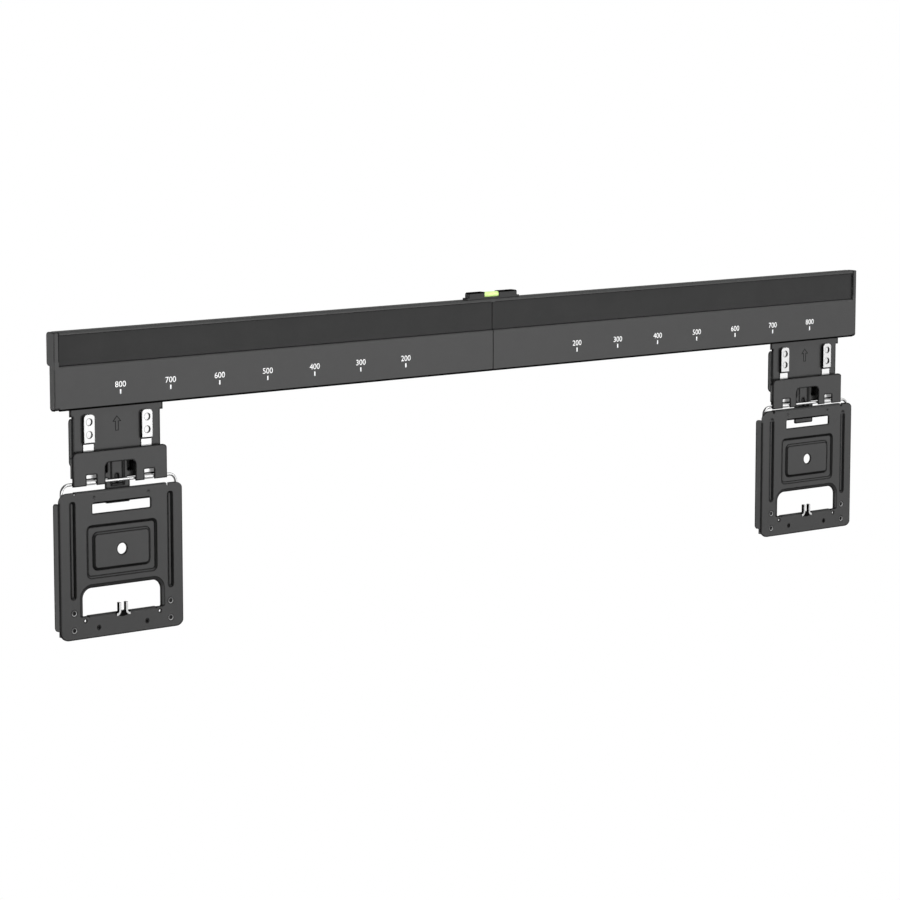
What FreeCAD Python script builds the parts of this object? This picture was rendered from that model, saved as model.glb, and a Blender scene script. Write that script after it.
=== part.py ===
import FreeCAD, Part
import math
import os

# A slim TV wall mount: a wall rail with a spirit level, and two brackets that hang on it.
# Millimetres. X runs along the rail, Y towards the wall (wall face at 0), Z up from the wall screws.

# Rail
rail_length = 928.0
rail_depth = 12.5
rail_wall = 1.4
lip_height = 3.0
band_height = 25.0
skirt_height = 37.0
screw_drop = 11.0
hook_lip_height = 9.6
rib_height = 1.6

# Wall screw slots, in pairs about the centre
screw_pairs = (100.0, 300.0)
slot_length = 16.0
slot_width = 6.5
access_width = 13.0

# Front trim and the band in its recess
trim_sheet = 1.2
end_bezel = 4.5
skirt_depth = 8.0
end_radius = 3.0
edge_radius = 0.9
trim_bend = 0.4
band_thickness = 0.8
band_recess = 1.6
band_tuck = 1.0
band_fit = 0.2
seam_gap = 0.8
top_flange = 5.2
wall_gap = 0.3

# Spirit level
level_base_length = 60.5
level_base_height = 1.8
level_length = 55.0
level_depth = 6.4
level_height = 6.4
level_setback = 1.8
level_offset = 1.5
level_radius = 1.8
level_window = 17.0
level_floor = 1.6
vial_radius = 2.4
vial_length = 34.0
vial_axis_height = 3.7
vial_bore_radius = 1.8
vial_end_wall = 1.5
vial_fit = 0.05
bubble_radius = 1.2
bubble_length = 5.0
bubble_rise = 1.1

# Brackets on the rail
bracket_inset = 64.0
hanger_sheet = 1.3
rail_clearance = 0.3
sheet_bend = 0.5
hook_length = 8.0
tab_overhang = 2.0
tab_drop = 6.5
hanger_width = 87.6
hanger_drop = 60.5
hanger_flange_rear = 0.4
hanger_flange_top = 8.0
hanger_flange_bottom = 48.0
hanger_flange_radius = 4.0

# Tongue at the middle of the hanger
tongue_width = 18.5
tongue_foot_width = 24.0
tongue_foot_height = 19.5
tongue_drop = 81.3
tongue_radius = 1.5
channel_width = 14.0
channel_slope = 2.0
channel_depth = 1.0
channel_top = 41.0
channel_bottom = 67.0
pocket_width = 5.0
pocket_depth = 3.0
pocket_slope = 0.8
pocket_top = 43.0
pocket_bottom = 55.0
tongue_slot_width = 3.6
tongue_slot_top = 56.9
tongue_slot_bottom = 65.0
tongue_slot_depth = 0.8

# Straps, keepers and rivets
strap_offset = 28.6
strap_width = 10.7
strap_sheet = 0.7
strap_top = 6.6
strap_foot_width = 18.0
strap_foot_top = 42.0
strap_foot_radius = 1.5
eye_width = 9.2
roll_slit = 0.3
clamp_sheet = 1.8
clamp_top = 5.1
clamp_bottom = 28.9
clamp_radius = 3.5
rivet_first = 11.5
rivet_pitch = 10.7
rivet_radius = 2.0
rivet_head_radius = 2.9
rivet_head_height = 0.25
rivet_seat_depth = 1.4
rivet_fit = 0.05

# Wire
wire_radius = 1.3
wire_fit = 0.05
wire_drop = 61.9
wire_bend = 7.0
wire_tail = 0.5

# Cover plate
cover_sheet = 1.2
cover_overhang = 3.2
cover_top = 35.5
cover_bottom = 64.0
cover_radius = 5.0
cover_wire_gap = 0.3
cover_wall_top = 40.0
cover_wall_bottom = 57.0
cover_foot = 7.0
mouth_width = 30.2
mouth_top = 46.1
mouth_radius = 4.0
eye_window_width = 10.2
eye_window_top = 55.0

# TV plate
plate_sheet = 1.5
plate_front_gap = 0.6
plate_width = 123.0
plate_height = 123.0
plate_radius = 8.0
plate_drop_left = 68.4
plate_drop_right = 65.2
plate_flange = 9.0
plate_flange_top = 8.5
plate_flange_bottom = 8.2
plate_flange_radius = 3.0
lip_depth = 4.0
lip_half_width = 45.3
relief_width = 1.4
relief_depth = 2.4
press_depth = 1.2
bead_wire_step = 8.3
bead_width = 5.2
bead_slope = 1.4
bead_top = 7.2
bead_rise = 34.0
wide_slot_length = 57.8
wide_slot_height = 8.0
wide_slot_drop = 15.0
wide_slot_radius = 0.8
ring_width = 69.5
ring_slot_gap = 9.8
ring_window_gap = 4.95
ring_radius = 4.5
island_side = 8.0
island_end = 8.0
island_radius = 3.0
ring_slope = 1.8
bolt_hole_radius = 4.75
window_block_gap = 2.55
window_height = 22.9
window_rise = 19.0
window_radius = 8.5
window_corner = 0.8
window_rim = 3.0
window_lip_inset = 5.45
dimple_radius = 1.4
dimple_floor_radius = 0.4
dimple_depth = 0.6
dimple_offset = 27.0
dimple_drop = 5.5
corner_hole_radius = 1.2
corner_hole_inset = 1.95
corner_hole_rise = 15.0
small_hole_radius = 1.65
small_hole_offset = 24.0
small_hole_rise = 8.2
collar_wall = 0.8
collar_depth = 3.5

# Screws and the blocks that hold the wire behind the TV plate
screw_wire_step = 8.7
screw_rise = 8.0
screw_pitch = 14.5
screw_radius = 1.5
screw_fit = 0.05
screw_head_radius = 2.5
screw_head_height = 0.9
screw_recess_radius = 1.2
screw_recess_depth = 0.6
block_inner_wall = 3.5
block_margin = 5.0
block_back_wall = 1.2
block_side_wall = 1.05
block_flange_gap = 0.9

# Spring clip on the window's lower lip
clip_sheet = 1.9
clip_half_gap = 2.4
clip_height = 7.8
clip_depth = 2.4
clip_flare = 4.4
clip_flare_radius = 2.3
clip_base_depth = 1.2
clip_base_height = 0.8
clip_front = 0.9
clip_foot_drop = 3.2

# Planes and levels that follow from the sizes above
half_length = rail_length / 2
bracket_offset = half_length - bracket_inset
rail_front = -rail_depth
rail_top = screw_drop
ledge = rail_top - lip_height - band_height
rail_bottom = ledge - skirt_height
under_top = rail_top - rail_wall
hook_back = -rail_wall - rail_clearance
hook_front = hook_back - hanger_sheet
lip_back = hook_front - rail_clearance
lip_front = lip_back - rail_wall
hanger_back = lip_front - rail_clearance
hanger_front = hanger_back - hanger_sheet
floor_low = ledge - rail_clearance
lip_top = floor_low + rail_wall + hook_lip_height
hook_top = lip_top + rail_clearance + hanger_sheet
band_floor = rail_front + band_recess + band_thickness
eye_outer = wire_radius + wire_fit + strap_sheet
wire_y = hanger_front - eye_outer
wire_z = rail_bottom - wire_drop
cover_back = wire_y - wire_radius - cover_wire_gap
cover_front = cover_back - cover_sheet
plate_front = rail_front + plate_front_gap
plate_back = plate_front + plate_sheet
block_outer = plate_width / 2 - plate_sheet - block_flange_gap
wire_leg = block_outer - block_side_wall - wire_fit - wire_radius
bead_offset = wire_leg - bead_wire_step
screw_offset = wire_leg - screw_wire_step
block_inner = screw_offset - block_inner_wall
window_half = block_inner - window_block_gap - window_rim
corner_hole_offset = window_half - corner_hole_inset
bead_bottom = plate_height - bead_rise
window_bottom = plate_height - window_rise
window_top = window_bottom - window_height
screw_last = plate_height - screw_rise
screw_first = screw_last - screw_pitch
ring_top = wide_slot_drop + wide_slot_height / 2 + ring_slot_gap
ring_height = window_top - window_rim - ring_window_gap - ring_top
ring_drop = ring_top + ring_height / 2
tab_width = hanger_width + 2 * tab_overhang
cover_width = hanger_width + 2 * cover_overhang
hair = 0.01


def vec(x, y, z):
    return FreeCAD.Vector(x, y, z)


def below(drop):
    """Height of a point a given drop below the rail's lower edge."""
    return rail_bottom - drop


def block(x_span, y_span, z_span):
    """Box between pairs of low and high values."""
    spans = (x_span, y_span, z_span)
    size = [high - low for low, high in spans]
    return Part.makeBox(*size, vec(*[low for low, high in spans]))


def rod(radius, start, end):
    """Round bar between two points."""
    return Part.makeCylinder(radius, (end - start).Length, start, end - start)


def rounded_wire(corners, place):
    """Closed wire through (u, v, radius) corners; place turns (u, v) into a point in space."""
    arcs = []
    for index, (u, v, radius) in enumerate(corners):
        here = vec(u, v, 0)
        before = (vec(*corners[index - 1][:2], 0) - here).normalize()
        after = (vec(*corners[(index + 1) % len(corners)][:2], 0) - here).normalize()
        if radius == 0:
            arcs.append((here, here, here))
            continue
        half = before.getAngle(after) / 2
        reach = radius / math.tan(half)
        centre = here + (before + after).normalize() * (radius / math.sin(half))
        middle = centre + (here - centre).normalize() * radius
        arcs.append((here + before * reach, middle, here + after * reach))
    edges = []
    for index, (start, middle, stop) in enumerate(arcs):
        if start != stop:
            edges.append(Part.Arc(place(start), place(middle), place(stop)).toShape())
        following = arcs[(index + 1) % len(arcs)][0]
        if stop.distanceToPoint(following) > hair:
            edges.append(Part.makeLine(place(stop), place(following)))
    return Part.Wire(edges)


def front_wire(corners, y):
    return rounded_wire(corners, lambda point: vec(point.x, y, point.y))


def slab(corners, y_front, y_back):
    """Outline in the front view, thick from y_front to y_back."""
    return Part.Face(front_wire(corners, y_front)).extrude(vec(0, y_back - y_front, 0))


def side_prism(corners, x_low, x_high):
    """Outline in the side view (y, z), drawn out along the rail."""
    wire = rounded_wire(corners, lambda point: vec(x_low, point.x, point.y))
    return Part.Face(wire).extrude(vec(x_high - x_low, 0, 0))


def top_prism(corners, z_low, z_high):
    """Outline in the top view (x, y), drawn out upwards."""
    wire = rounded_wire(corners, lambda point: vec(point.x, point.y, z_low))
    return Part.Face(wire).extrude(vec(0, 0, z_high - z_low))


def rectangle(x_span, z_span, radius=0, low_radius=None):
    """Corners of a rectangle with its own radius at the top and at the bottom."""
    low_radius = radius if low_radius is None else low_radius
    (x_low, x_high), (z_low, z_high) = x_span, z_span
    lower = [(x_low, z_low, low_radius), (x_high, z_low, low_radius)]
    return lower + [(x_high, z_high, radius), (x_low, z_high, radius)]


def centred(x, z, width, height, radius=0):
    return rectangle((x - width / 2, x + width / 2), (z - height / 2, z + height / 2), radius)


def folded(path, thickness, bend):
    """Corners of a folded sheet: path follows one face and the sheet lies to the left of it."""
    near = []
    far = []
    for index, (u, v) in enumerate(path):
        here = vec(u, v, 0)
        steps = [(vec(*path[k + 1], 0) - vec(*path[k], 0)).normalize()
                 for k in (index - 1, index) if 0 <= k < len(path) - 1]
        normals = [vec(-step.y, step.x, 0) for step in steps]
        shift = (normals[0] + normals[-1]) * (thickness / (1 + normals[0].dot(normals[-1])))
        turn = steps[0].cross(steps[-1]).z
        near_radius, far_radius = 0, 0
        if turn > hair:
            near_radius, far_radius = bend + thickness, bend
        if turn < -hair:
            near_radius, far_radius = bend, bend + thickness
        near.append((u, v, near_radius))
        far.append((here.x + shift.x, here.y + shift.y, far_radius))
    return near + far[::-1]


def union(shapes):
    return shapes[0].fuse(shapes[1:]).removeSplitter()


def loft_back(near, far, y_front, depth):
    """Solid between an outline at y_front and another one a depth behind it."""
    return Part.makeLoft([front_wire(near, y_front), front_wire(far, y_front + depth)], True, True)


def tapered(x, z, width, height, radius, slope, y_front, depth):
    """Form that draws in by slope on every side, or out where slope is negative."""
    near = centred(x, z, width, height, radius)
    far = centred(x, z, width - 2 * slope, height - 2 * slope, max(radius - slope, 0))
    return loft_back(near, far, y_front, depth)


def press(sheet, form, thickness):
    """Press a form into the front of a sheet, so that it stands out of the back."""
    bulge = form.copy()
    bulge.translate(vec(0, thickness, 0))
    return sheet.fuse(bulge).cut(form)


def screw_line():
    """Places of the wall screws along the rail."""
    return [side * offset for offset in screw_pairs for side in (-1, 1)]


def wall_rail():
    """Long profile: hook lip, floor, screw web, top wall with a rib, and a narrow front lip."""
    path = [(lip_front, lip_top), (lip_front, floor_low), (0, floor_low), (0, rail_top),
            (rail_front, rail_top), (rail_front, rail_top - lip_height)]
    half = half_length - end_bezel - band_fit
    rail = side_prism(folded(path, rail_wall, sheet_bend), -half, half)
    rib_front = band_floor + top_flange
    rib = block((-half, half), (rib_front, rib_front + rail_wall), (under_top - rib_height, under_top))
    slots = [slab(centred(x, 0, slot_length, slot_width, slot_width / 2), -rail_wall, 0)
             for x in screw_line()]
    return union([rail, rib]).cut(slots)


def trim_end():
    """Folded end of the left trim: a shallow lower half and a deep upper half."""
    skirt_rear = rail_front + skirt_depth
    outline = [(rail_front, rail_bottom, end_radius), (skirt_rear, rail_bottom, end_radius),
               (skirt_rear, ledge, 0), (-wall_gap, ledge, end_radius),
               (-wall_gap, rail_top, end_radius), (rail_front, rail_top, edge_radius)]
    outer = -half_length
    inner = outer + end_bezel
    end = side_prism(outline, outer, inner)
    front_edges = [edge for edge in end.Edges
                   if edge.BoundBox.XMax < outer + hair and edge.BoundBox.YMax < rail_front + hair]
    end = end.makeFillet(edge_radius, front_edges)
    hollow = block((outer + trim_sheet, inner), (rail_front + trim_sheet, 0),
                   (rail_bottom, rail_top - trim_sheet))
    return end.cut(hollow)


def front_trim():
    """Left half of the front: top flange, recess floor, ledge, skirt and folded end."""
    path = [(band_floor + top_flange, under_top), (band_floor, under_top), (band_floor, ledge),
            (rail_front, ledge), (rail_front, rail_bottom)]
    start = -half_length + end_bezel
    sheet = side_prism(folded(path, trim_sheet, trim_bend), start, -seam_gap / 2)
    recess_wall = block((start - trim_sheet, start), (rail_front, band_floor + trim_sheet),
                        (ledge - trim_sheet, under_top))
    holes = [slab(centred(x, 0, slot_length + access_width - slot_width, access_width, access_width / 2),
                  band_floor, band_floor + trim_sheet)
             for x in screw_line() if x < 0]
    return union([sheet, trim_end(), recess_wall]).cut(holes)


def band():
    """Left dark inlay in the recess, tucked up behind the rail's front lip."""
    x_span = (-half_length + end_bezel + band_fit, -seam_gap / 2)
    top = rail_top - lip_height + band_tuck
    return block(x_span, (band_floor - band_thickness, band_floor), (ledge + trim_bend, top))


def level_centre():
    """Depth of the level's middle plane."""
    return rail_front + level_setback + level_depth / 2


def level_housing():
    """Housing with a foot, rounded shoulders, an open window and a bore for the vial."""
    front = rail_front + level_setback
    back = front + level_depth
    foot = block((level_offset - level_base_length / 2, level_offset + level_base_length / 2), (front, back),
                 (rail_top, rail_top + level_base_height))
    body = slab(rectangle((level_offset - level_length / 2, level_offset + level_length / 2),
                          (rail_top, rail_top + level_height), level_radius, 0), front, back)
    window = block((-level_window / 2, level_window / 2), (front, back),
                   (rail_top + level_floor, rail_top + level_height))
    bore = vial_rod(vial_radius + vial_fit, vial_length + 2 * vial_fit)
    return union([foot, body]).cut([window, bore])


def vial_rod(radius, length):
    height = rail_top + vial_axis_height
    return rod(radius, vec(-length / 2, level_centre(), height), vec(length / 2, level_centre(), height))


def level_vial():
    return vial_rod(vial_radius, vial_length).cut(vial_rod(vial_bore_radius, vial_length - 2 * vial_end_wall))


def level_liquid():
    """Liquid that fills the vial round a bubble under its top."""
    liquid = vial_rod(vial_bore_radius, vial_length - 2 * vial_end_wall)
    bubble = vial_rod(bubble_radius, bubble_length - 2 * bubble_radius)
    caps = [Part.makeSphere(bubble_radius, vec(side * (bubble_length / 2 - bubble_radius), level_centre(),
                                               rail_top + vial_axis_height)) for side in (-1, 1)]
    bubble = union([bubble] + caps)
    bubble.translate(vec(0, 0, bubble_rise))
    return liquid.cut(bubble)


def rivet_drops():
    return [rivet_first, rivet_first + rivet_pitch]


def rivet_points():
    """Places (x, z) of the four rivets of a bracket."""
    return [(side * strap_offset, below(drop)) for side in (-1, 1) for drop in rivet_drops()]


def tongue():
    """Tongue below the hanger, with a wider foot."""
    foot_top = below(tongue_drop - tongue_foot_height)
    stem = slab(rectangle((-tongue_width / 2, tongue_width / 2), (foot_top, below(hanger_drop))),
                hanger_front, hanger_back)
    foot = slab(rectangle((-tongue_foot_width / 2, tongue_foot_width / 2), (below(tongue_drop), foot_top),
                          tongue_radius), hanger_front, hanger_back)
    return union([stem, foot])


def hook_tab():
    """Hook over the rail's lip and the wide tab that comes down in front of it."""
    path = [(hook_back, hook_top - hook_length), (hook_back, hook_top),
            (hanger_front, hook_top), (hanger_front, below(tab_drop))]
    return side_prism(folded(path, hanger_sheet, sheet_bend), -tab_width / 2, tab_width / 2)


def hanger_face():
    """Plate below the tab, with a folded side that is rounded at both ends."""
    low = below(hanger_drop)
    high = below(tab_drop)
    half = hanger_width / 2
    rear = -hanger_flange_rear
    path = [(-half, rear), (-half, hanger_front), (half, hanger_front), (half, rear)]
    tray = top_prism(folded(path, hanger_sheet, sheet_bend), low, high)
    flange = [(hanger_front, below(hanger_flange_bottom), 0),
              (rear, below(hanger_flange_bottom), hanger_flange_radius),
              (rear, below(hanger_flange_top), hanger_flange_radius),
              (hanger_front, below(hanger_flange_top), 0)]
    face = block((-half, half), (hanger_front, hanger_back), (low, high))
    return tray.common(side_prism(flange, -half, half).fuse(face))


def hanger_plate():
    """Hook and tab over the rail's lip, folded sides, pressed channel, pockets and a slotted tongue."""
    plate = union([hook_tab(), hanger_face(), tongue()])
    middle = below((channel_top + channel_bottom) / 2)
    channel = tapered(0, middle, channel_width, channel_bottom - channel_top, 0, channel_slope,
                      hanger_front, channel_depth)
    plate = press(plate, channel, hanger_sheet)
    middle = below((pocket_top + pocket_bottom) / 2)
    for side in (-1, 1):
        pocket = tapered(side * (mouth_width - pocket_width) / 2, middle, pocket_width,
                         pocket_bottom - pocket_top, 0, pocket_slope, hanger_front, pocket_depth)
        plate = press(plate, pocket, hanger_sheet)
    holes = [rod(rivet_radius + rivet_fit, vec(x, hanger_front, z), vec(x, hanger_back, z))
             for x, z in rivet_points()]
    slot = slab(rectangle((-tongue_slot_width / 2, tongue_slot_width / 2),
                          (below(tongue_slot_bottom), below(tongue_slot_top)), tongue_slot_width / 2),
                hanger_front, hanger_front + channel_depth + tongue_slot_depth)
    return plate.cut(holes + [slot])


def strap(x):
    """Steel strap on the hanger, rolled forward round the wire at its lower end."""
    back = hanger_front
    front = back - strap_sheet
    eye_span = (x - eye_width / 2, x + eye_width / 2)
    foot_low = wire_z + eye_outer
    stem = slab(rectangle((x - strap_width / 2, x + strap_width / 2),
                          (below(strap_foot_top), below(strap_top))), front, back)
    foot = slab(rectangle((x - strap_foot_width / 2, x + strap_foot_width / 2),
                          (foot_low, below(strap_foot_top)), strap_foot_radius), front, back)
    neck = slab(rectangle(eye_span, (wire_z, foot_low)), front, back)
    ends = [vec(end, wire_y, wire_z) for end in eye_span]
    eye = rod(eye_outer, *ends)
    bore = rod(wire_radius + wire_fit, *ends)
    slit = block(eye_span, (wire_y, front), (wire_z + wire_radius - roll_slit, wire_z + eye_outer))
    holes = [rod(rivet_radius + rivet_fit, vec(x, front, below(drop)), vec(x, back, below(drop)))
             for drop in rivet_drops()]
    return union([stem, foot, neck, eye.cut(slit)]).cut([bore] + holes)


def clamp(x):
    """Keeper over the strap, with a rounded top and a sunk seat for each rivet."""
    back = hanger_front - strap_sheet
    front = back - clamp_sheet
    keeper = slab(rectangle((x - strap_width / 2, x + strap_width / 2),
                            (below(clamp_bottom), below(clamp_top)), clamp_radius, 0), front, back)
    for drop in rivet_drops():
        z = below(drop)
        keeper = keeper.cut([rod(rivet_radius + rivet_fit, vec(x, front, z), vec(x, back, z)),
                             rod(rivet_head_radius + rivet_fit, vec(x, front, z),
                                 vec(x, front + rivet_seat_depth, z))])
    return keeper


def rivet(x, z):
    seat = hanger_front - strap_sheet - clamp_sheet + rivet_seat_depth
    head = rod(rivet_head_radius, vec(x, seat - rivet_head_height, z), vec(x, seat, z))
    return union([head, rod(rivet_radius, vec(x, seat, z), vec(x, hanger_back, z))])


def cover_plate():
    """Shallow tray in front of the hanger: folded sides whose feet lie on the hanger."""
    half = cover_width / 2
    low = below(cover_bottom)
    high = below(cover_top)
    path = [(cover_foot - half, hanger_front), (-half, hanger_front), (-half, cover_front),
            (half, cover_front), (half, hanger_front), (half - cover_foot, hanger_front)]
    tray = top_prism(folded(path, cover_sheet, sheet_bend), low, high)
    face = slab(rectangle((-half, half), (low, high), cover_radius, sheet_bend), cover_front, cover_back)
    walls = block((-half, half), (cover_front, hanger_front),
                  (below(cover_wall_bottom), below(cover_wall_top)))
    mouth = slab(rectangle((-mouth_width / 2, mouth_width / 2), (low, below(mouth_top)), mouth_radius, 0),
                 cover_front, cover_back)
    windows = [slab(rectangle((x - eye_window_width / 2, x + eye_window_width / 2),
                              (low, below(eye_window_top)), sheet_bend, 0), cover_front, cover_back)
               for x in (-strap_offset, strap_offset)]
    return tray.common(face.fuse(walls)).cut([mouth] + windows)


def wire_bail(plate_drop):
    """Bent wire: a straight top run in the straps' eyes and a leg down each side."""
    foot = below(plate_drop + screw_last + block_margin + wire_tail)
    corner = wire_z - wire_bend
    run = wire_leg - wire_bend
    turn = wire_bend * math.cos(math.pi / 4)
    sides = []
    for side in (-1, 1):
        arc_low = vec(side * wire_leg, wire_y, corner)
        arc_middle = vec(side * (run + turn), wire_y, corner + turn)
        arc_top = vec(side * run, wire_y, wire_z)
        leg = Part.makeLine(vec(side * wire_leg, wire_y, foot), arc_low)
        sides.append([leg, Part.Arc(arc_low, arc_middle, arc_top).toShape()])
    top_run = Part.makeLine(vec(-run, wire_y, wire_z), vec(run, wire_y, wire_z))
    path = Part.Wire(sides[0] + [top_run] + sides[1][::-1])
    section = Part.Wire(Part.makeCircle(wire_radius, vec(-wire_leg, wire_y, foot), vec(0, 0, 1)))
    return path.makePipeShell([section], True, True)


def fold_back(plate, half_width, edge):
    """Replace the upper edge of a sheet by a lip that is folded back."""
    bend = sheet_bend + plate_sheet
    gone = block((-half_width, half_width), (plate_front, plate_back), (edge - bend, edge))
    path = [(plate_front + lip_depth, edge), (plate_front, edge), (plate_front, edge - bend)]
    lip = side_prism(folded(path, plate_sheet, sheet_bend), -half_width, half_width)
    return plate.cut(gone).fuse(lip)


def plate_outline(top):
    """Plate with folded sides, before anything is pressed or cut."""
    half = plate_width / 2
    low = top - plate_height
    rear = plate_front + plate_flange
    path = [(-half, rear), (-half, plate_front), (half, plate_front), (half, rear)]
    tray = top_prism(folded(path, plate_sheet, sheet_bend), low, top)
    face = slab(rectangle((-half, half), (low, top), plate_radius), plate_front, plate_back)
    flange_top = top - plate_flange_top
    flange_low = low + plate_flange_bottom
    flange = [(plate_front, flange_low, 0), (rear, flange_low, plate_flange_radius),
              (rear, flange_top, plate_flange_radius), (plate_front, flange_top, 0)]
    return tray.common(face.fuse(side_prism(flange, -half, half)))


def press_beads(plate, top):
    """Long narrow bead down each side."""
    middle = top - (bead_top + bead_bottom) / 2
    for side in (-1, 1):
        bead = tapered(side * bead_offset, middle, bead_width, bead_bottom - bead_top, bead_width / 2,
                       bead_slope, plate_front, press_depth)
        plate = press(plate, bead, plate_sheet)
    return plate


def press_ring(plate, z):
    """Groove all round a flat island, with sloping walls on both sides."""
    outer = tapered(0, z, ring_width, ring_height, ring_radius, ring_slope, plate_front, press_depth)
    island = tapered(0, z, ring_width - 2 * island_side, ring_height - 2 * island_end, island_radius,
                     -ring_slope, plate_front, press_depth)
    return press(plate, outer.cut(island), plate_sheet)


def cut_window(plate, top):
    """Window with a sunk rim round its upper part and a folded lip below."""
    low = top - window_bottom
    high = top - window_top
    rim_half = window_half + window_rim
    rim = rectangle((-rim_half, rim_half), (low, high + window_rim),
                    window_radius + window_rim, window_corner)
    window = rectangle((-window_half, window_half), (low, high), window_radius, window_corner)
    plate = press(plate, loft_back(rim, window, plate_front, press_depth), plate_sheet)
    plate = plate.cut(slab(window, plate_front, plate_back + press_depth))
    return fold_back(plate, window_half - window_lip_inset, low)


def dimple(x, z):
    """Shallow round punch mark in the front of the plate."""
    return Part.makeCone(dimple_radius, dimple_floor_radius, dimple_depth,
                         vec(x, plate_front, z), vec(0, 1, 0))


def tv_plate(plate_drop):
    """Pressed plate that is bolted to the TV."""
    top = below(plate_drop)
    lip_end = lip_half_width + relief_width / 2
    reliefs = [block((x - relief_width / 2, x + relief_width / 2), (plate_front, plate_back),
                     (top - relief_depth, top)) for x in (-lip_end, lip_end)]
    plate = fold_back(plate_outline(top).cut(reliefs), lip_half_width, top)
    plate = press_beads(plate, top)
    plate = press_ring(plate, top - ring_drop)
    plate = cut_window(plate, top)
    wide_slot = slab(centred(0, top - wide_slot_drop, wide_slot_length, wide_slot_height, wide_slot_radius),
                     plate_front, plate_back)
    dimples = [dimple(x, top - dimple_drop) for x in (-dimple_offset, dimple_offset)]
    plate = plate.fuse(hole_collars(top))
    return plate.cut([wide_slot] + dimples + plate_holes(top)).removeSplitter()


def plate_holes(top):
    """TV bolt hole, screw holes and the small round holes."""
    holes = [(bolt_hole_radius, 0, top - ring_drop)]
    for side in (-1, 1):
        holes.append((corner_hole_radius, side * corner_hole_offset, top - plate_height + corner_hole_rise))
        holes.append((small_hole_radius, side * small_hole_offset, top - plate_height + small_hole_rise))
    holes += [(screw_radius + screw_fit, x, z) for x, z in screw_points(top)]
    seats = [screw_cone(x, z, screw_fit) for x, z in screw_points(top)]
    rear = plate_back + collar_depth
    return seats + [rod(radius, vec(x, plate_front, z), vec(x, rear, z)) for radius, x, z in holes]


def hole_collars(top):
    """Collars drawn out of the sheet behind the two small lower holes."""
    z = top - plate_height + small_hole_rise
    return [rod(small_hole_radius + collar_wall, vec(x, plate_back, z), vec(x, plate_back + collar_depth, z))
            for x in (-small_hole_offset, small_hole_offset)]


def screw_points(top):
    return [(side * screw_offset, top - drop) for side in (-1, 1)
            for drop in (screw_first, screw_last)]


def screw_cone(x, z, fit):
    """Countersunk head of a plate screw, or with a fit the seat for it."""
    return Part.makeCone(screw_head_radius + fit, screw_radius + fit, screw_head_height,
                         vec(x, plate_front, z), vec(0, 1, 0))


def plate_screw(x, z):
    """Countersunk screw, flush with the plate, with a round driving recess."""
    shank = rod(screw_radius, vec(x, plate_front, z), vec(x, wire_y + wire_radius, z))
    recess = rod(screw_recess_radius, vec(x, plate_front, z), vec(x, plate_front + screw_recess_depth, z))
    return union([screw_cone(x, z, 0), shank]).cut(recess)


def wire_clamp(side, plate_drop):
    """Block behind the TV plate that holds one leg of the wire."""
    top = below(plate_drop)
    low = top - screw_last - block_margin
    high = top - screw_first + block_margin
    back = wire_y + wire_radius + block_back_wall
    body = block(sorted((side * block_inner, side * block_outer)), (plate_back, back), (low, high))
    bore = rod(wire_radius + wire_fit, vec(side * wire_leg, wire_y, low), vec(side * wire_leg, wire_y, high))
    holes = [rod(screw_radius + screw_fit, vec(x, plate_back, z), vec(x, wire_y + wire_radius, z))
             for x, z in screw_points(top) if x * side > 0]
    return body.cut([bore] + holes)


def spring_clip(plate_drop):
    """Two upright prongs that flare out in front of the plate, joined by a strip on the window's lip."""
    seat = below(plate_drop + window_bottom)
    foot = seat - clip_foot_drop
    rear = plate_front + clip_depth
    high = seat + clip_height
    reach = clip_half_gap + clip_flare
    prongs = []
    for side in (-1, 1):
        path = [(side * reach, foot), (side * clip_half_gap, foot), (side * clip_half_gap, high)]
        path = path if side < 0 else path[::-1]
        prongs.append(slab(folded(path, clip_sheet, clip_flare_radius), plate_front - clip_front, rear))
    lip = block((-reach, reach), (plate_front, rear), (foot, seat))
    middle = clip_half_gap + clip_sheet / 2
    strip = block((-middle, middle), (rear - clip_base_depth, rear), (seat, seat + clip_base_height))
    return union([prong.cut(lip) for prong in prongs] + [strip])


def bracket(plate_drop, outer_side):
    """All pieces of one bracket about x = 0; outer_side says which way the rail's end lies."""
    top = below(plate_drop)
    pieces = {
        "hanger_plate": hanger_plate(),
        "cover_plate": cover_plate(),
        "rivets": Part.makeCompound([rivet(x, z) for x, z in rivet_points()]),
        "wire_bail": wire_bail(plate_drop),
        "tv_plate": tv_plate(plate_drop),
        "plate_screws": Part.makeCompound([plate_screw(x, z) for x, z in screw_points(top)]),
        "spring_clip": spring_clip(plate_drop),
    }
    for place, side in (("outer", outer_side), ("inner", -outer_side)):
        pieces["strap_" + place] = strap(side * strap_offset)
        pieces["clamp_" + place] = clamp(side * strap_offset)
        pieces["wire_clamp_" + place] = wire_clamp(side, plate_drop)
    return pieces


def right_half(shape):
    return shape.mirror(vec(0, 0, 0), vec(1, 0, 0))


def all_pieces():
    left_trim = front_trim()
    left_band = band()
    pieces = {
        "wall_rail": wall_rail(),
        "front_trim_left": left_trim,
        "front_trim_right": right_half(left_trim),
        "band_left": left_band,
        "band_right": right_half(left_band),
        "level_housing": level_housing(),
        "level_vial": level_vial(),
        "level_liquid": level_liquid(),
    }
    for name, side, plate_drop in (("left", -1, plate_drop_left), ("right", 1, plate_drop_right)):
        for piece, shape in bracket(plate_drop, side).items():
            shape.translate(vec(side * bracket_offset, 0, 0))
            pieces[name + "_" + piece] = shape
    return pieces


os.makedirs("parts", exist_ok=True)
for node, shape in all_pieces().items():
    shape.exportStep("parts/" + node + ".step")
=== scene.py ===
import math

import bmesh
import bpy
from mathutils import Matrix, Vector


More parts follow.
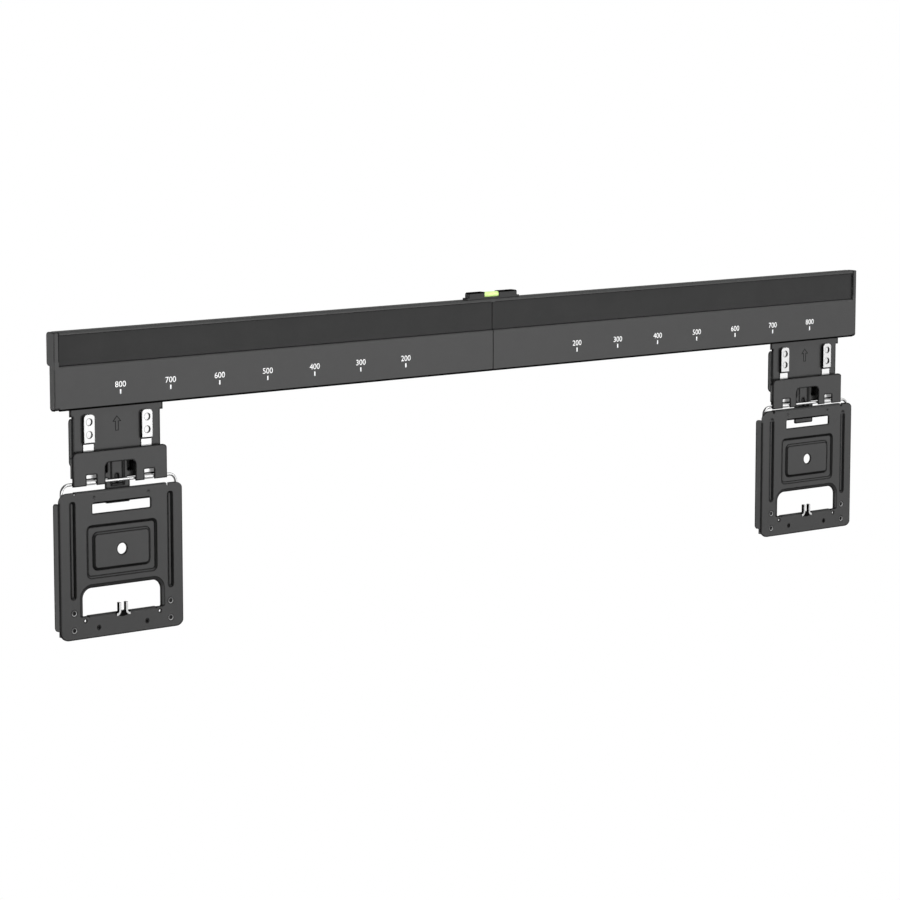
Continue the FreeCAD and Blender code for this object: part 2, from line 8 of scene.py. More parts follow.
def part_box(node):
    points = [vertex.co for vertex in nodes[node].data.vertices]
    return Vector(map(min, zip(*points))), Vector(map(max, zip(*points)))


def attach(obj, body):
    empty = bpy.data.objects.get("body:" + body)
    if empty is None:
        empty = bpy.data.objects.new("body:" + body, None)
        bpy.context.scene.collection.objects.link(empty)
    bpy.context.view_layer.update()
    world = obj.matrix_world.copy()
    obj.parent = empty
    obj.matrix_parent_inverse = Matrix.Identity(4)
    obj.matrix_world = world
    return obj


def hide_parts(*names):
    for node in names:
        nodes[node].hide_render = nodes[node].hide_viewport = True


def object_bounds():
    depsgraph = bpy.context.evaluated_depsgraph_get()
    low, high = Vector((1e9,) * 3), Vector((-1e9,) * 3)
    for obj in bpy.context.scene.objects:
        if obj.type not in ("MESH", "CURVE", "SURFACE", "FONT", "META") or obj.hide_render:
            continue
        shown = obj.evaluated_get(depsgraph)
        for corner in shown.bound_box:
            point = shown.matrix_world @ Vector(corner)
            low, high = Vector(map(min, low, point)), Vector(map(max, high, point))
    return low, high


# A slim TV wall mount: dark grey rail with a printed scale and a spirit level, and two hook-on brackets.
# Metres, in the frame of the solids: X along the rail, Y towards the wall, Z up.

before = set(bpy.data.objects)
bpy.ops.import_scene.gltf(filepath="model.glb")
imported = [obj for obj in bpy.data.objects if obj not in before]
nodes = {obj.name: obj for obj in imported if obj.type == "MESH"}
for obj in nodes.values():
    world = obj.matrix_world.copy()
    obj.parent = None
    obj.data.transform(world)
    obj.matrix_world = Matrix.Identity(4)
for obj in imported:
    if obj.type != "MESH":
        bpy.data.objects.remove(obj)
solid_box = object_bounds()

MM = 0.001
BRACKETS = ("left", "right")

# Camera: angles in degrees, lens and sensor in millimetres
CAMERA_PLACE = (-1.9413, -2.3481, 0.3012)
CAMERA_TURN = 39.0
CAMERA_DIP = 8.01
CAMERA_LENS = 135.9
CAMERA_SENSOR = 36
CAMERA_SIGHT = 3000

# Floor
FLOOR_RADIUS = 400
FLOOR_DROP = 1
FLOOR_SIDES = 64

# Grey coat, and the painted shade in the finishes: black lines along edges and on the pressed walls
COAT_TONE = 0.022
SHADE_LINE_TONE = 0.002
SHADE_LINE_STRENGTH = 0.95
LINE_FADE = 0.4 * MM
FINE_SHADE_LINE = 1.1 * MM
WALL_SHADE = 0.75

# Printed scale on the skirt of the front trims
SCALE_MARKS = range(200, 801, 100)
DIGIT_HEIGHT = 4.8 * MM
DIGIT_WIDENING = 1.06
DIGIT_BASE_RISE = 16.0 * MM
TICK_WIDTH = 1.3 * MM
TICK_RISE = (10.3 * MM, 14.0 * MM)
PRINT_HEIGHT = 0.03 * MM

# Strip behind the joint between the two front trims
TRIM_SHEET = 1.2 * MM
STRIP_WIDTH = 14.0 * MM
STRIP_THICKNESS = 0.8 * MM
STRIP_FOOT = 1.0 * MM
STRIP_HEAD = 1.9 * MM
STRIP_EDGE = 0.2 * MM

# Arrow pressed into each hanger, drawn as a near-black outline that is painted shade for the groove
ARROW_DROP = 8.4 * MM
ARROW_HEIGHT = 12.6 * MM
ARROW_HEAD_WIDTH = 8.9 * MM
ARROW_HEAD_HEIGHT = 5.0 * MM
ARROW_SHAFT_WIDTH = 3.4 * MM
ARROW_LINE = 0.55 * MM
ARROW_RELIEF = 0.12 * MM

# Screws in the TV plates
SCREW_SIDES = 32
CROSS_REACH = 1.5 * MM
CROSS_WIDTH = 1.1 * MM
CROSS_DEPTH = 0.9 * MM
CROSS_TAPER = 0.55
HEAD_RADIUS = 2.5 * MM
FACE_RADIUS = 1.8 * MM
DISH_DEPTH = 0.2 * MM
HEAD_DEPTH = 0.9 * MM
SHANK_RADIUS = 1.5 * MM

# Places of small forms on the solids: punch marks below a TV plate's top and holes above its foot,
# the upper end of a strap's eye above its lowest point, where a painted shadow runs, the painted shadow
# under the slot's upper edge below a TV plate's top and half the slot's length, and the painted shadow on a
# strap below its keeper
DIMPLE_DROP = 5.5 * MM
SMALL_HOLE_RISE = 8.2 * MM
EYE_HEIGHT = 4.8 * MM
SLOT_SHADOW_DROP = 10.3 * MM
SLOT_HALF = 27.5 * MM
KEEPER_SHADE_DROP = 0.5 * MM

# Painted shadow under each spring clip: a dark half-round sheet
CLIP_SHADOW_WIDTH = 14.5 * MM
CLIP_SHADOW_HEIGHT = 4.6 * MM
CLIP_SHADOW_THICKNESS = 0.3 * MM
CLIP_SHADOW_BELOW_CLIP = 0.8 * MM
CLIP_SHADOW_ROUND = 24


class Value:
    """A shader socket that can be used in Python arithmetic."""

    def __init__(self, finish, socket):
        self.finish = finish
        self.socket = socket

    def math(self, operation, first, second):
        return self.finish.node("ShaderNodeMath", {"operation": operation}, {0: first, 1: second})

    def __add__(self, other):
        return self.math("ADD", self, other)

    def __sub__(self, other):
        return self.math("SUBTRACT", self, other)

    def __rsub__(self, other):
        return self.math("SUBTRACT", other, self)

    def __mul__(self, other):
        return self.math("MULTIPLY", self, other)

    __radd__ = __add__
    __rmul__ = __mul__


class Finish:
    """A procedural material while it is being put together."""

    def __init__(self, name):
        self.material = bpy.data.materials.new(name)
        self.material.use_nodes = True
        self.tree = self.material.node_tree
        self.tree.nodes.clear()

    def node(self, kind, settings=None, inputs=None, output=0):
        made = self.tree.nodes.new(kind)
        for name, value in (settings or {}).items():
            setattr(made, name, value)
        for name, value in (inputs or {}).items():
            if isinstance(value, Value):
                self.tree.links.new(value.socket, made.inputs[name])
            else:
                made.inputs[name].default_value = value
        return Value(self, made.outputs[output]) if made.outputs else None

    def place(self, stretch=(1, 1, 1)):
        """Object coordinates, stretched so that a pattern can run along a piece."""
        coordinates = self.node("ShaderNodeTexCoord", output="Object")
        return self.node("ShaderNodeMapping", {}, {"Vector": coordinates, "Scale": stretch})

    def noise(self, scale, detail=3.0, stretch=(1, 1, 1)):
        return self.node("ShaderNodeTexNoise", {}, {"Vector": self.place(stretch), "Scale": scale,
                                                    "Detail": detail, "Roughness": 0.6})

    def mix(self, amount, first, second):
        return self.node("ShaderNodeMix", {"data_type": "RGBA"}, {0: amount, 6: first, 7: second}, output=2)

    def between(self, value, low, high):
        """0 below low, 1 above high and even in between."""
        return self.node("ShaderNodeMapRange", {}, {0: value, 1: low, 2: high})

    def round_edges(self, radius):
        return self.node("ShaderNodeBevel", {"samples": 6}, {"Radius": radius})

    def edges(self, rounded, faint=0.006, full=0.05):
        """Mask of the edges where the rounded surface leaves the flat one."""
        flat = self.node("ShaderNodeNewGeometry", output="Normal")
        same = self.node("ShaderNodeVectorMath", {"operation": "DOT_PRODUCT"}, {0: rounded, 1: flat},
                         output=1)
        return self.between(1 - same, faint, full)

    def bump(self, height, depth, strength, normal=None):
        inputs = {"Height": height, "Distance": depth, "Strength": strength}
        if normal:
            inputs["Normal"] = normal
        return self.node("ShaderNodeBump", {}, inputs)

    def along(self, axis, vector):
        return self.node("ShaderNodeSeparateXYZ", {}, {0: vector}, output=axis)

    def away_from(self, axis, middle, reach):
        """0 in a strip about a plane of the object, 1 outside it."""
        offset = self.along(axis, self.place()) - middle
        end = reach + LINE_FADE
        return self.between(offset * offset, reach * reach, end * end)

    def lean(self, axis):
        """How far the surface faces along an axis of the object, from -1 to 1."""
        return self.along(axis, self.node("ShaderNodeTexCoord", output="Normal"))

    def facing(self, axis):
        """How squarely the surface faces along an axis of the object, from 0 to 1."""
        return self.node("ShaderNodeMath", {"operation": "ABSOLUTE"}, {0: self.lean(axis)})

    def slopes(self):
        """Mask of painted shade on the pressed walls and bends between a plate's flat front and its square
        sides.

        The walls that face down and left are full, as if turned away from a light at the upper right,
        and those that face up and right are faint.
        """
        front = self.facing("Y")
        walls = self.between(1 - front, 0.04, 0.13) * self.between(front, 0.1, 0.3)
        down_left_shade = self.between(0 - self.lean("X") - self.lean("Z"), -0.05, 0.2)
        return walls * (0.15 + 0.85 * down_left_shade)

    def strips(self, lines, plain, dark):
        """Take the lines out of the plain strips, and fill painted shade where the strips of a dark patch
        meet.
        """
        for strip in plain:
            lines = lines * self.away_from(*strip)
        for patch in dark:
            clear = self.away_from(*patch[0])
            for strip in patch[1:]:
                clear = either(clear, self.away_from(*strip))
            lines = either(lines, 1 - clear)
        return lines

    def shade(self, lines=None, **sockets):
        """Close the material with one surface shader, and painted shade, a black diffuse, where there are
        lines.
        """
        surface = self.node("ShaderNodeBsdfPrincipled", {},
                            {name.replace("_", " "): value for name, value in sockets.items()})
        if lines:
            dark = self.node("ShaderNodeBsdfDiffuse", {}, {"Color": grey(SHADE_LINE_TONE)})
            surface = self.node("ShaderNodeMixShader", {}, {0: lines, 1: surface, 2: dark})
        self.node("ShaderNodeOutputMaterial", {}, {"Surface": surface})
        return self.material


def grey(tone):
    return (tone, tone, tone, 1)


def either(first, second):
    """Mask that is full where one of two masks is."""
    return 1 - (1 - first) * (1 - second)


def powder_coat(name, tone, rounding, line_width, plain=(), dark=(), holes=(), pressed=False):
    """Satin dark grey powder coat: fine orange peel, faint cloudiness, and painted shade as dark lines along
    the edges.

    The wide lines stay away from the holes. A pressed plate also has painted shade on its walls and fine dark
    lines.
    """
    finish = Finish(name)
    cloud = finish.noise(60)
    grain = finish.noise(2600, detail=2)
    rounded = finish.round_edges(rounding)
    lines = finish.strips(SHADE_LINE_STRENGTH * finish.edges(finish.round_edges(line_width)), holes, ())
    if pressed:
        fine = finish.edges(finish.round_edges(FINE_SHADE_LINE), 0.001, 0.012)
        lines = either(lines, WALL_SHADE * finish.slopes())
        lines = either(lines, SHADE_LINE_STRENGTH * fine)
    lines = finish.strips(lines, plain, dark)
    paint = finish.mix(finish.between(cloud, 0.3, 0.7), grey(tone * 0.94), grey(tone * 1.06))
    return finish.shade(lines, Base_Color=paint, Roughness=0.3 + 0.1 * grain,
                        Normal=finish.bump(grain, 0.03 * MM, 0.2, rounded))


def inlay(dark):
    """Matt charcoal inlay with a fine, close grain, and one painted shadow as a dark strip."""
    finish = Finish("matt_inlay")
    grain = finish.noise(4200, detail=4)
    cloud = finish.noise(35)
    tone = finish.mix(finish.between(cloud, 0.3, 0.7), grey(0.016), grey(0.02))
    return finish.shade(1 - finish.away_from(*dark), Base_Color=tone, Roughness=0.32 + 0.12 * grain,
                        Specular_IOR_Level=0.22, Normal=finish.bump(grain, 0.02 * MM, 0.3))


def bright_steel(name, stretch, line_width, glow=0.0, dark=()):
    """Bright steel with fine rolling marks along the piece, painted shade on its edges and side walls, and a
    painted glow.
    """
    finish = Finish(name)
    marks = finish.noise(900, detail=4, stretch=stretch)
    rounded = finish.round_edges(0.3 * MM)
    lines = finish.strips(finish.edges(finish.round_edges(line_width)), (), dark)
    # painted shade: side walls that face along the object's X are made black
    lines = either(lines, finish.between(finish.facing("X"), 0.5, 0.8))
    colour = finish.mix(marks, grey(0.5), grey(0.57))
    return finish.shade(lines, Base_Color=colour, Metallic=1.0, Roughness=0.22 + 0.2 * marks,
                        Emission_Color=colour, Emission_Strength=glow,
                        Normal=finish.bump(marks, 0.01 * MM, 0.2, rounded))


def drawn_wire():
    """Bright round wire with fine drawing marks."""
    finish = Finish("drawn_wire")
    marks = finish.noise(900, detail=4, stretch=(0.15, 1, 0.15))
    colour = finish.mix(marks, grey(0.66), grey(0.76))
    return finish.shade(Base_Color=colour, Metallic=1.0, Roughness=0.2 + 0.12 * marks,
                        Normal=finish.bump(marks, 0.01 * MM, 0.2))


def zinc(name, tone):
    finish = Finish(name)
    grain = finish.noise(1800, detail=4)
    rounded = finish.round_edges(0.15 * MM)
    colour = finish.mix(grain, grey(tone * 0.8), grey(tone * 1.2))
    return finish.shade(Base_Color=colour, Metallic=1.0, Roughness=0.3 + 0.2 * grain,
                        Normal=finish.bump(grain, 0.01 * MM, 0.2, rounded))


def moulded_black(name, tone, gloss, dark=()):
    """Black moulded plastic with a fine spark-eroded texture, and painted shade as darker edges and dark
    strips.
    """
    finish = Finish(name)
    grain = finish.noise(3500, detail=3)
    rounded = finish.round_edges(0.4 * MM)
    lines = finish.strips(finish.edges(rounded), (), dark)
    colour = finish.mix(grain, grey(tone * 0.8), grey(tone * 1.2))
    return finish.shade(lines, Base_Color=colour, Roughness=0.34 + 0.14 * grain, Specular_IOR_Level=gloss,
                        Normal=finish.bump(grain, 0.02 * MM, 0.3, rounded))


def clear_acrylic():
    finish = Finish("tinted_acrylic")
    streaks = finish.noise(400, stretch=(0.2, 1, 1))
    colour = finish.mix(streaks, (0.6, 0.88, 0.24, 1), (0.72, 0.96, 0.38, 1))
    # The emission is a painted glow that keeps the tinted acrylic bright.
    return finish.shade(Base_Color=colour, Roughness=0.12 + 0.06 * streaks, Emission_Color=colour,
                        Emission_Strength=0.3)


def level_fluid():
    finish = Finish("level_fluid")
    drift = finish.noise(300)
    colour = finish.mix(drift, (0.56, 0.86, 0.16, 1), (0.68, 0.94, 0.28, 1))
    # The emission is a painted glow that keeps the fluid bright.
    return finish.shade(Base_Color=colour, Roughness=0.1 + 0.05 * drift, Emission_Color=colour,
                        Emission_Strength=0.3)


def print_ink():
    """Light grey screen print, slightly uneven where the ink is thin, with a painted glow."""
    finish = Finish("scale_print")
    patch = finish.noise(1500, detail=4)
    colour = finish.mix(patch, grey(0.78), grey(0.94))
    return finish.shade(Base_Color=colour, Roughness=0.5 + 0.2 * patch, Emission_Color=colour,
                        Emission_Strength=0.3)


# Near-black finish of the arrow's outline: painted shade that stands in for the pressed groove.
def pressed_line():
    finish = Finish("pressed_line")
    grain = finish.noise(2600, detail=2)
    return finish.shade(Base_Color=finish.mix(grain, grey(0.006), grey(0.012)), Roughness=0.5 + 0.15 * grain,
                        Specular_IOR_Level=0.1)


def rail_finish():
    """Coat of the rail: no lines along the band and the joint, and a painted shadow along the lower edge."""
    ledge = ("Z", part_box("band_left")[0].z, 2.8 * MM)
    joint = ("X", 0, 1.8 * MM)
    skirt_edge_shadow = ("Z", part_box("front_trim_left")[0].z, 1.4 * MM)
    return powder_coat("rail_coat", COAT_TONE, 0.3 * MM, 1.5 * MM, [ledge, joint], [[skirt_edge_shadow]])


def plate_finish():
    """Coat of the TV plates: soft punch marks and holes, and painted shade along the rear edges and under the
    slots' upper edges.
    """
    plates = [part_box(side + "_tv_plate") for side in BRACKETS]
    dimples = [("Z", high.z - DIMPLE_DROP, 1.6 * MM) for low, high in plates]
    holes = [("Z", low.z + SMALL_HOLE_RISE, 1.6 * MM) for low, high in plates]
    shadows = [[("Y", plates[0][1].y, 0.7 * MM)]]
    for low, high in plates:
        slot_edge_shadow = ("Z", high.z - SLOT_SHADOW_DROP, 0.5 * MM)
        slot_length = ("X", (low.x + high.x) / 2, SLOT_HALF)
        shadows.append([slot_edge_shadow, slot_length])
    return powder_coat("plate_coat", COAT_TONE, 0.8 * MM, 2.2 * MM, dimples, shadows, holes, pressed=True)


def strap_finish():
    """Steel of the straps: painted shadow above the eye and under the keeper's lower edge, and a painted
    glow.
    """
    eye_top_shadow = ("Z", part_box("left_strap_outer")[0].z + EYE_HEIGHT, 0.35 * MM)
    keeper_shadow = ("Z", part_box("left_clamp_outer")[0].z - KEEPER_SHADE_DROP, 0.6 * MM)
    return bright_steel("strap_steel", (1, 1, 0.04), 1.0 * MM, 0.35, [[eye_top_shadow], [keeper_shadow]])


def paint_nodes():
    """Give every solid its finish."""
    level_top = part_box("level_housing")[1].z
    rail_coat = rail_finish()
    plate_coat = plate_finish()
    # The cover, hanger and block coats carry painted shade: dark lines along edges and dark pressed walls
    cover_coat = powder_coat("cover_coat", COAT_TONE, 0.8 * MM, 2.2 * MM, pressed=True)
    hanger_coat = powder_coat("hanger_coat", COAT_TONE, 0.8 * MM, 3.0 * MM, pressed=True)
    block_coat = powder_coat("block_coat", 0.015, 0.6 * MM, 2.0 * MM, pressed=True)
    # the dark strip at the band's left end is a painted shadow
    band_finish = inlay(("X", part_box("band_left")[0].x, 0.8 * MM))
    strap_steel = strap_finish()
    # Keepers and rivets have a faint painted glow, and every steel has painted shade on its edges and side
    # walls
    keeper_steel = bright_steel("keeper_steel", (1, 1, 0.04), 0.9 * MM, 0.1)
    rivet_steel = bright_steel("rivet_steel", (1, 1, 1), 0.3 * MM, 0.1)
    clip_steel = bright_steel("clip_steel", (1, 1, 0.04), 0.2 * MM)
    wire_steel = drawn_wire()
    # the dark strip along the level's top edge is painted shade
    level_finish = moulded_black("level_black", 0.012, 0.4, [[("Z", level_top, 0.9 * MM)]])
    finishes = {
        "wall_rail": rail_coat, "front_trim_left": rail_coat, "front_trim_right": rail_coat,
        "band_left": band_finish, "band_right": band_finish, "level_housing": level_finish,
        "level_vial": clear_acrylic(), "level_liquid": level_fluid(),
    }
    for side in BRACKETS:
        finishes[side + "_cover_plate"] = cover_coat
        finishes[side + "_tv_plate"] = plate_coat
        finishes[side + "_hanger_plate"] = hanger_coat
        for piece in ("strap_outer", "strap_inner"):
            finishes[side + "_" + piece] = strap_steel
        for piece in ("clamp_outer", "clamp_inner"):
            finishes[side + "_" + piece] = keeper_steel
        finishes[side + "_rivets"] = rivet_steel
        for piece in ("wire_clamp_outer", "wire_clamp_inner"):
            finishes[side + "_" + piece] = block_coat
        finishes[side + "_wire_bail"] = wire_steel
        finishes[side + "_spring_clip"] = clip_steel
    for name, finish in finishes.items():
        slots = nodes[name].data.materials
        slots.clear()
        slots.append(finish)


def piece(name, shape, finishes, body, slot):
    """Turn a finished bmesh into a piece that rides on a body."""
    mesh = bpy.data.meshes.new(name)
    shape.to_mesh(mesh)
    shape.free()
    for finish in finishes:
        mesh.materials.append(finish)
    made = bpy.data.objects.new(name, mesh)
    bpy.context.scene.collection.objects.link(made)
    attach(made, body)
    return made


def add_number(shape, text, x, front, base):
    """Raised flat digits that face the room, centred on x."""
    curve = bpy.data.curves.new("digits", "FONT")
    curve.body = text
    curve.align_x = "CENTER"
    curve.extrude = PRINT_HEIGHT / DIGIT_HEIGHT
    writer = bpy.data.objects.new("digits", curve)
    digits = bpy.data.meshes.new_from_object(writer)
    tall = max(corner.co.y for corner in digits.vertices)
    size = DIGIT_HEIGHT / tall
    upright = Matrix.Rotation(math.radians(90), 4, "X")
    scale = Matrix.Diagonal((size * DIGIT_WIDENING, size, size, 1))
    digits.transform(Matrix.Translation((x, front, base)) @ upright @ scale)
    shape.from_mesh(digits)
    bpy.data.objects.remove(writer)
    bpy.data.curves.remove(curve)
    bpy.data.meshes.remove(digits)


def add_tick(shape, x, front, low, high):
    size = (TICK_WIDTH, 2 * PRINT_HEIGHT, high - low)
    place = Matrix.Translation((x, front, (low + high) / 2)) @ Matrix.Diagonal((*size, 1))
    bmesh.ops.create_cube(shape, size=1, matrix=place)


def print_scale(side, direction, ink):
    """Numbers and ticks along one half of the rail."""
    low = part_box("front_trim_" + side)[0]
    shape = bmesh.new()
    for mark in SCALE_MARKS:
        x = direction * mark / 2 * MM
        add_number(shape, str(mark), x, low.y, low.z + DIGIT_BASE_RISE)
        add_tick(shape, x, low.y, low.z + TICK_RISE[0], low.z + TICK_RISE[1])
    piece("printed_scale_" + side, shape, [ink], "rail", "rail_steel")


def joint_strip(finish):
    """Thin strip behind the skirt that backs the joint between the two trims."""
    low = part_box("front_trim_left")[0]
    foot = low.z + STRIP_FOOT
    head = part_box("band_left")[0].z - STRIP_HEAD
    middle = (0, low.y + TRIM_SHEET + STRIP_THICKNESS / 2, (foot + head) / 2)
    size = (STRIP_WIDTH, STRIP_THICKNESS, head - foot, 1)
    shape = bmesh.new()
    bmesh.ops.create_cube(shape, size=1, matrix=Matrix.Translation(middle) @ Matrix.Diagonal(size))
    bmesh.ops.bevel(shape, geom=shape.edges[:], offset=STRIP_EDGE, affect="EDGES", segments=2, profile=0.5,
                    material=-1)
    piece("joint_strip", shape, [finish], "rail", "rail_steel")


def press_arrow(side, groove_shade_finish):
    """Outline of an arrow that points up, on the hanger's front, in painted shade for the pressed groove."""
    low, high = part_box(side + "_hanger_plate")
    x = (low.x + high.x) / 2
    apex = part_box("front_trim_left")[0].z - ARROW_DROP
    neck = apex - ARROW_HEAD_HEIGHT
    foot = apex - ARROW_HEIGHT
    right = [(0, apex), (ARROW_HEAD_WIDTH / 2, neck),
             (ARROW_SHAFT_WIDTH / 2, neck), (ARROW_SHAFT_WIDTH / 2, foot)]
    outline = right + [(-u, v) for u, v in right[:0:-1]]
    shape = bmesh.new()
    face = shape.faces.new([shape.verts.new((x + u, low.y, v)) for u, v in outline])
    shape.normal_update()
    bmesh.ops.inset_region(shape, faces=[face], thickness=ARROW_LINE, use_even_offset=True, use_boundary=True)
    bmesh.ops.delete(shape, geom=[face], context="FACES")
    walls = bmesh.ops.extrude_face_region(shape, geom=shape.faces[:])
    raised = [item for item in walls["geom"] if isinstance(item, bmesh.types.BMVert)]
    bmesh.ops.translate(shape, verts=raised, vec=(0, -ARROW_RELIEF, 0))
    bmesh.ops.recalc_face_normals(shape, faces=shape.faces[:])
    piece(side + "_arrow", shape, [groove_shade_finish], side + "_hanger", "bracket_steel")


def ring_of(shape, points):
    """Closed loop of edges through points."""
    corners = [shape.verts.new(point) for point in points]
    return [shape.edges.new((corner, corners[index - 1])) for index, corner in enumerate(corners)]


def draw_back(shape, edges, depth, scale, centre):
    """Carry a loop of edges back by depth, drawn in by scale about a centre, and return the new loop."""
    made = bmesh.ops.extrude_edge_only(shape, edges=edges)["geom"]
    corners = [item for item in made if isinstance(item, bmesh.types.BMVert)]
    for corner in corners:
        corner.co = centre + (corner.co - centre) * scale + Vector((0, depth, 0))
    return [item for item in made if isinstance(item, bmesh.types.BMEdge)
            and all(end in corners for end in item.verts)]


def add_screw(shape, centre, back):
    """Countersunk screw, its face sunk a little below its rim, with a cross recess."""
    around = [2 * math.pi * step / SCREW_SIDES for step in range(SCREW_SIDES)]
    rim = ring_of(shape, [centre + HEAD_RADIUS * Vector((math.cos(a), 0, math.sin(a))) for a in around])
    face = draw_back(shape, rim, DISH_DEPTH, FACE_RADIUS / HEAD_RADIUS, centre)
    sunk = centre + Vector((0, DISH_DEPTH, 0))
    # the dished rim takes the second finish, the light copy of the zinc: painted highlight
    for edge in face:
        edge.link_faces[0].material_index = 1
    half = CROSS_WIDTH / 2
    arm = [(half, half), (CROSS_REACH, half), (CROSS_REACH, -half)]
    turns = [Matrix.Rotation(math.radians(-90 * quarter), 2) for quarter in range(4)]
    corners = [turn @ Vector(point) for turn in turns for point in arm]
    cross = ring_of(shape, [sunk + Vector((corner.x, 0, corner.y)) for corner in corners])
    bmesh.ops.triangle_fill(shape, edges=face + cross, use_beauty=True)
    floor = draw_back(shape, cross, CROSS_DEPTH, CROSS_TAPER, sunk)
    bmesh.ops.edgeloop_fill(shape, edges=floor)
    neck = draw_back(shape, rim, HEAD_DEPTH, SHANK_RADIUS / HEAD_RADIUS, centre)
    end = draw_back(shape, neck, back - centre.y - HEAD_DEPTH, 1, centre + Vector((0, HEAD_DEPTH, 0)))
    bmesh.ops.edgeloop_fill(shape, edges=end)


def plate_screws(side, finishes):
    """Four screws in the lower corners of a TV plate."""
    low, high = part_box(side + "_plate_screws")
    shape = bmesh.new()
    for x in (low.x + HEAD_RADIUS, high.x - HEAD_RADIUS):
        for z in (low.z + HEAD_RADIUS, high.z - HEAD_RADIUS):
            add_screw(shape, Vector((x, low.y, z)), high.y)
    bmesh.ops.recalc_face_normals(shape, faces=shape.faces[:])
    screws = piece(side + "_cross_screws", shape, finishes, side + "_swing", "fastener_steel")
    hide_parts(side + "_plate_screws")


def clip_seat(side, finish):
    """Dark half-round sheet on the plate's front under the feet of the spring clip: a painted shadow."""
    low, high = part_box(side + "_spring_clip")
    x = (low.x + high.x) / 2
    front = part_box(side + "_tv_plate")[0].y
    top = low.z + CLIP_SHADOW_HEIGHT - CLIP_SHADOW_BELOW_CLIP
    turns = [math.pi * step / CLIP_SHADOW_ROUND for step in range(CLIP_SHADOW_ROUND + 1)]
    rim = [(x + CLIP_SHADOW_WIDTH / 2 * math.cos(turn), front, top - CLIP_SHADOW_HEIGHT * math.sin(turn)) for turn in turns]
    shape = bmesh.new()
    face = shape.faces.new([shape.verts.new(point) for point in rim])
    lifted = bmesh.ops.extrude_face_region(shape, geom=[face])["geom"]
    corners = [item for item in lifted if isinstance(item, bmesh.types.BMVert)]
    bmesh.ops.translate(shape, verts=corners, vec=(0, -CLIP_SHADOW_THICKNESS, 0))
    bmesh.ops.recalc_face_normals(shape, faces=shape.faces[:])
    piece(side + "_clip_seat", shape, [finish], side + "_swing", "clamp_steel")


def add_camera():
    data = bpy.data.cameras.new("camera")
    data.lens = CAMERA_LENS
    data.sensor_width = CAMERA_SENSOR
    data.clip_end = CAMERA_SIGHT
    camera = bpy.data.objects.new("camera", data)
    camera.location = CAMERA_PLACE
    camera.rotation_euler = (math.radians(90 - CAMERA_DIP), 0, math.radians(-CAMERA_TURN))
    bpy.context.scene.collection.objects.link(camera)
    bpy.context.scene.camera = camera


def softbox(name, direction, distance, size, power, mirrored=True):
    """Square area light that looks at the object from a direction, and may stay out of reflections."""
    data = bpy.data.lights.new(name, "AREA")
    data.shape = "SQUARE"
    data.size = size
    data.energy = power
    light = bpy.data.objects.new(name, data)
    away = Vector(direction).normalized()
    centre = (solid_box[0] + solid_box[1]) / 2
    light.location = centre + away * distance
    light.rotation_euler = away.to_track_quat("Z", "Y").to_euler()
    light.visible_camera = False
    light.visible_glossy = mirrored
    bpy.context.scene.collection.objects.link(light)


def add_lights():
    """Softboxes that the front and the bends mirror, and three that only light the sides and the back."""
    softbox("key", (0.63, -0.76, -0.1), distance=6.4, size=6.8, power=180)
    softbox("fill", (0.42, -0.9, -0.2), distance=6.2, size=4.0, power=80)
    softbox("front", (-0.3, -0.94, -0.12), distance=6.0, size=4.4, power=150)
    softbox("top", (0.5, -0.4, 0.8), distance=6.0, size=7.0, power=190)
    softbox("back", (0.65, 0.74, 0.39), distance=4.0, size=3.0, power=5)
    softbox("left", (-1.0, 0.05, 0.05), distance=6.0, size=4.0, power=1150, mirrored=False)
    softbox("rear", (0.05, 1.0, 0.15), distance=6.0, size=4.0, power=1150, mirrored=False)
    softbox("right", (1.0, 0.3, 0.05), distance=6.0, size=4.0, power=900, mirrored=False)


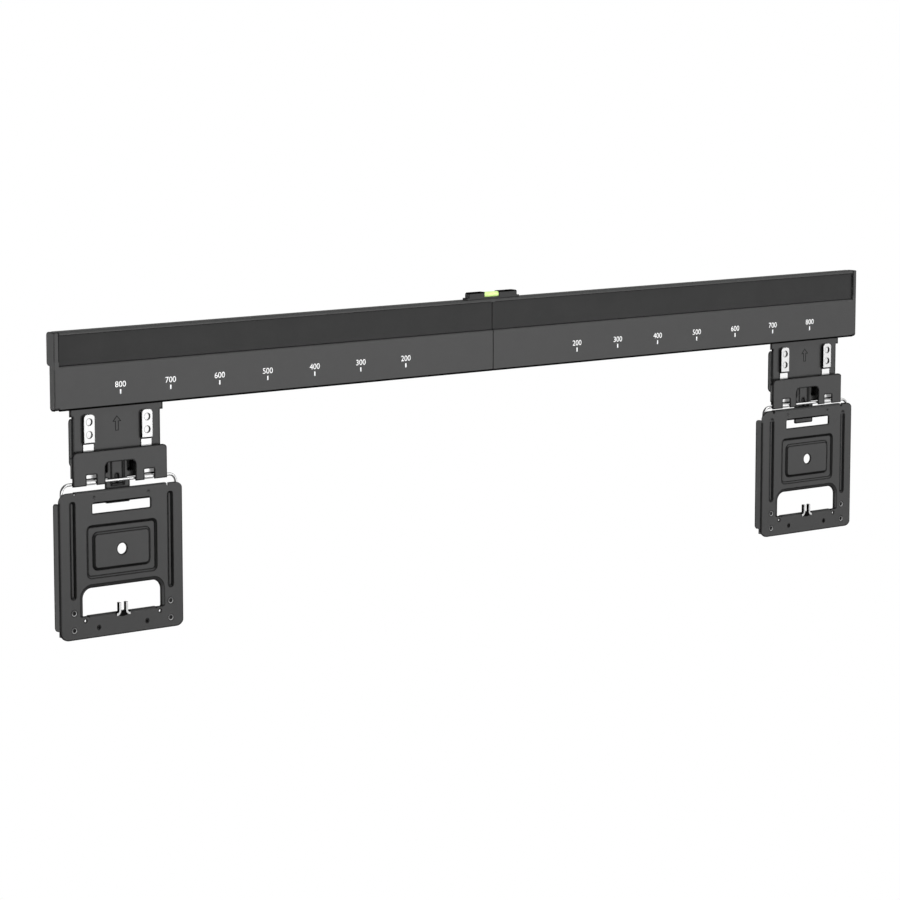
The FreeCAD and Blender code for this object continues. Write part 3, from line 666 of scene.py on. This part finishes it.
def add_world():
    """White studio to the eye, and a dim one in reflections and as light."""
    world = bpy.data.worlds.new("studio")
    bpy.context.scene.world = world
    world.use_nodes = True
    tree = world.node_tree
    tree.nodes.clear()
    seen = tree.nodes.new("ShaderNodeBackground")
    seen.inputs["Color"].default_value = grey(1)
    around = tree.nodes.new("ShaderNodeBackground")
    around.inputs["Color"].default_value = grey(0.08)
    path = tree.nodes.new("ShaderNodeLightPath")
    choice = tree.nodes.new("ShaderNodeMixShader")
    end = tree.nodes.new("ShaderNodeOutputWorld")
    tree.links.new(path.outputs["Is Camera Ray"], choice.inputs[0])
    tree.links.new(around.outputs[0], choice.inputs[1])
    tree.links.new(seen.outputs[0], choice.inputs[2])
    tree.links.new(choice.outputs[0], end.inputs["Surface"])
    bpy.context.scene.view_settings.view_transform = "Standard"


def add_floor():
    """Plain pale floor, well below the mount, dimmer in reflections."""
    shape = bmesh.new()
    bmesh.ops.create_circle(shape, cap_ends=True, segments=FLOOR_SIDES, radius=FLOOR_RADIUS)
    bmesh.ops.translate(shape, verts=shape.verts[:], vec=(0, 0, solid_box[0].z - FLOOR_DROP))
    mesh = bpy.data.meshes.new("floor")
    shape.to_mesh(mesh)
    shape.free()
    finish = Finish("floor")
    seen = finish.node("ShaderNodeLightPath", output="Is Camera Ray")
    glow = finish.node("ShaderNodeEmission", {}, {"Color": finish.mix(seen, grey(0.3), grey(1))})
    finish.node("ShaderNodeOutputMaterial", {}, {"Surface": glow})
    mesh.materials.append(finish.material)
    floor = bpy.data.objects.new("floor", mesh)
    bpy.context.scene.collection.objects.link(floor)
    floor.visible_diffuse = False
    floor.visible_transmission = False


paint_nodes()
ink = print_ink()
print_scale("left", -1, ink)
print_scale("right", 1, ink)
joint_strip(nodes["wall_rail"].data.materials[0])
arrow_shade = pressed_line()
# The same zinc twice: a dark copy on the face, cross and neck is painted shade, and a light copy on the
# dished rim is painted highlight
screw_finishes = [zinc("zinc_painted_shade", 0.04), zinc("zinc_painted_highlight", 0.3)]
clip_shadow_finish = moulded_black("clip_shadow_black", 0.003, 0.02)
for side in BRACKETS:
    press_arrow(side, arrow_shade)
    plate_screws(side, screw_finishes)
    clip_seat(side, clip_shadow_finish)
add_camera()
add_lights()
add_world()
add_floor()
